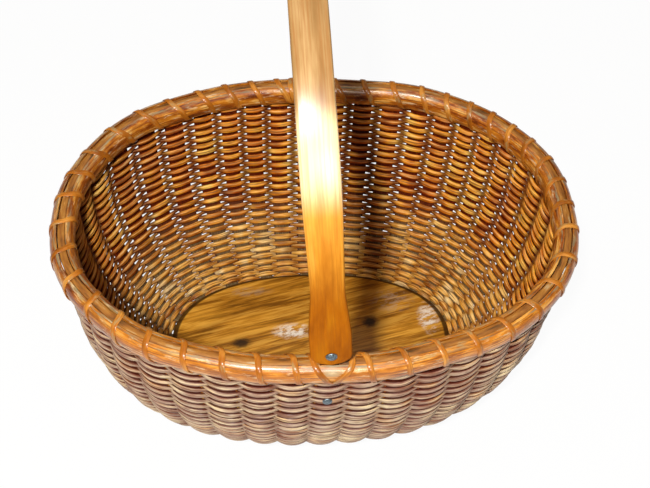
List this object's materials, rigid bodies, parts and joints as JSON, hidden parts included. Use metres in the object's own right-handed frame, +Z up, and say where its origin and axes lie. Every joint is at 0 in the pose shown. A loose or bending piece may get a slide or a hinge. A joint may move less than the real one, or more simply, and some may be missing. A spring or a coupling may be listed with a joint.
{
  "type": "oval nantucket basket",
  "caption": "Oval woven cane basket with an oak board bottom, lashed double-hoop rim and a bent wood handle that swings on riveted ears.",
  "frame": {"origin": "middle of the board's underside, on the ground", "axes": "+Z up, +X along the oval's long axis, -Y towards the front ear seen in the picture; the handle swings about Y"},
  "size_m": [0.2957, 0.2182, 0.3136],
  "materials": {
    "board_oak": "oak board, worn satin, lengthwise grain with dark stains",
    "weave_cane": "aged cane weaver, golden brown inside, mauve brown outside, satin",
    "stave_wood": "thin split wood staves, aged brown",
    "hoop_wood": "half-round bent wood, varnished orange brown with long streaks",
    "filler_cane": "reddish brown cane strip",
    "lashing_cane": "glossy orange cane strip",
    "handle_wood": "steam-bent wood, warm orange brown, fine lengthwise grain, satin",
    "ear_wood": "carved wood ear, satin",
    "rivet_iron": "dull grey iron rivet"
  },
  "bodies": {
    "basket": {"base_plate": "board_oak", "ear_back": "ear_wood", "ear_front": "ear_wood", "ear_rivet_back": "rivet_iron", "ear_rivet_front": "rivet_iron", "handle_burr_back": "rivet_iron", "handle_burr_front": "rivet_iron", "handle_rivet_back": "rivet_iron", "handle_rivet_front": "rivet_iron", "rim_filler_left": "filler_cane", "rim_filler_right": "filler_cane", "rim_inner_hoop": "hoop_wood", "rim_lashing": "lashing_cane", "rim_outer_hoop": "hoop_wood", "stave_01": "stave_wood", "stave_02": "stave_wood", "stave_03": "stave_wood", "stave_04": "stave_wood", "stave_05": "stave_wood", "stave_06": "stave_wood", "stave_07": "stave_wood", "stave_08": "stave_wood", "stave_09": "stave_wood", "stave_10": "stave_wood", "stave_11": "stave_wood", "stave_12": "stave_wood", "stave_13": "stave_wood", "stave_14": "stave_wood", "stave_15": "stave_wood", "stave_16": "stave_wood", "stave_17": "stave_wood", "stave_18": "stave_wood", "stave_19": "stave_wood", "stave_20": "stave_wood", "stave_21": "stave_wood", "stave_22": "stave_wood", "stave_23": "stave_wood", "stave_24": "stave_wood", "stave_25": "stave_wood", "stave_26": "stave_wood", "stave_27": "stave_wood", "stave_28": "stave_wood", "stave_29": "stave_wood", "stave_30": "stave_wood", "stave_31": "stave_wood", "stave_32": "stave_wood", "stave_33": "stave_wood", "stave_34": "stave_wood", "stave_35": "stave_wood", "stave_36": "stave_wood", "stave_37": "stave_wood", "stave_38": "stave_wood", "stave_39": "stave_wood", "stave_40": "stave_wood", "stave_41": "stave_wood", "stave_42": "stave_wood", "stave_43": "stave_wood", "woven_wall": "weave_cane"},
    "handle": {"handle": "handle_wood"}
  },
  "joints": [
    {"name": "handle_swing", "type": "hinge", "parent": "basket", "child": "handle", "pos_m": [0, 0, 0.1575], "axis": [0, 1, 0], "range_deg": [-86, 94]}
  ]
}
